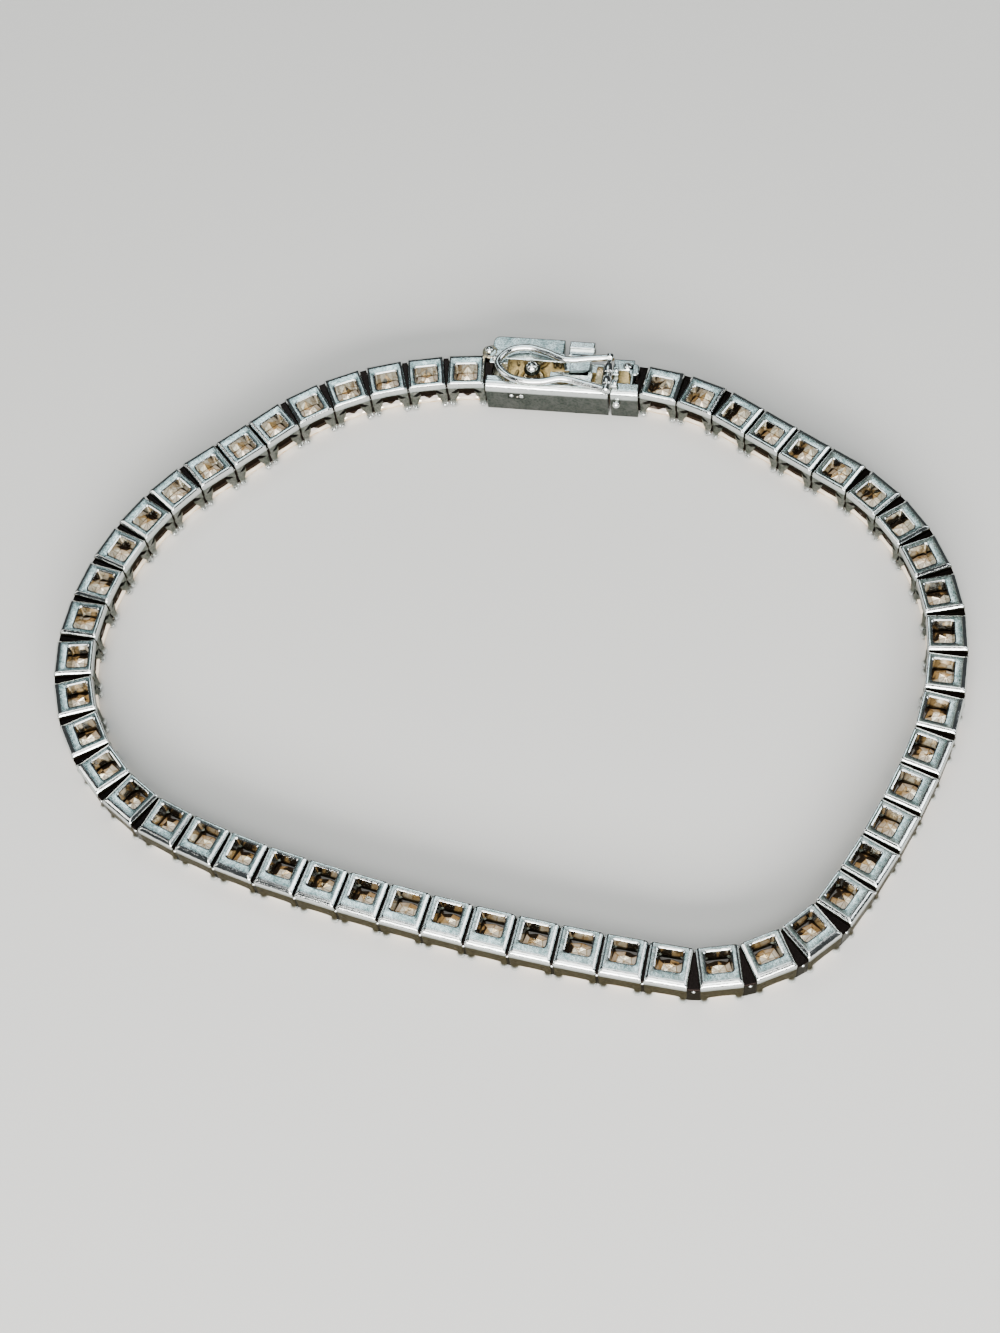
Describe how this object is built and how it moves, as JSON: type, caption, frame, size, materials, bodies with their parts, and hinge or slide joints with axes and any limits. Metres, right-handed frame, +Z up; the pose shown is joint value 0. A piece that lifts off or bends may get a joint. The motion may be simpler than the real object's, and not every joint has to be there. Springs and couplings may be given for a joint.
{
  "type": "tennis bracelet",
  "caption": "Flexible bracelet of square open-backed settings joined end to end, closed by a box clasp with a thumb tab and a figure-eight safety catch.",
  "frame": {"origin": "under the middle of the closed bracelet, on the surface that it lies on", "axes": "+X along the clasp from its box to its tongue and along the loop's long side, +Y out of the loop at the clasp, +Z up from the stones' side to the backs of the links"},
  "size_m": [0.0658, 0.0514, 0.0039],
  "materials": {
    "white_metal_links": "polished white precious metal with fine wear",
    "white_metal_clasp": "polished white precious metal with fine wear",
    "white_metal_wire": "bright polished wire"
  },
  "bodies": {
    "bracelet": {"link_run_1": "white_metal_links", "link_run_2": "white_metal_links", "link_run_3": "white_metal_links", "link_run_4": "white_metal_links", "link_run_5": "white_metal_links", "link_run_6": "white_metal_links", "link_run_7": "white_metal_links", "link_run_8": "white_metal_links", "clasp_box": "white_metal_clasp", "clasp_tongue": "white_metal_clasp"},
    "catch": {"safety_catch": "white_metal_wire"}
  },
  "joints": [
    {"name": "safety_catch_hinge", "type": "hinge", "parent": "bracelet", "child": "catch", "pos_m": [0.00486, 0.02229, 0.00352], "axis": [0, 1, 0], "range_deg": [0, 150]}
  ]
}
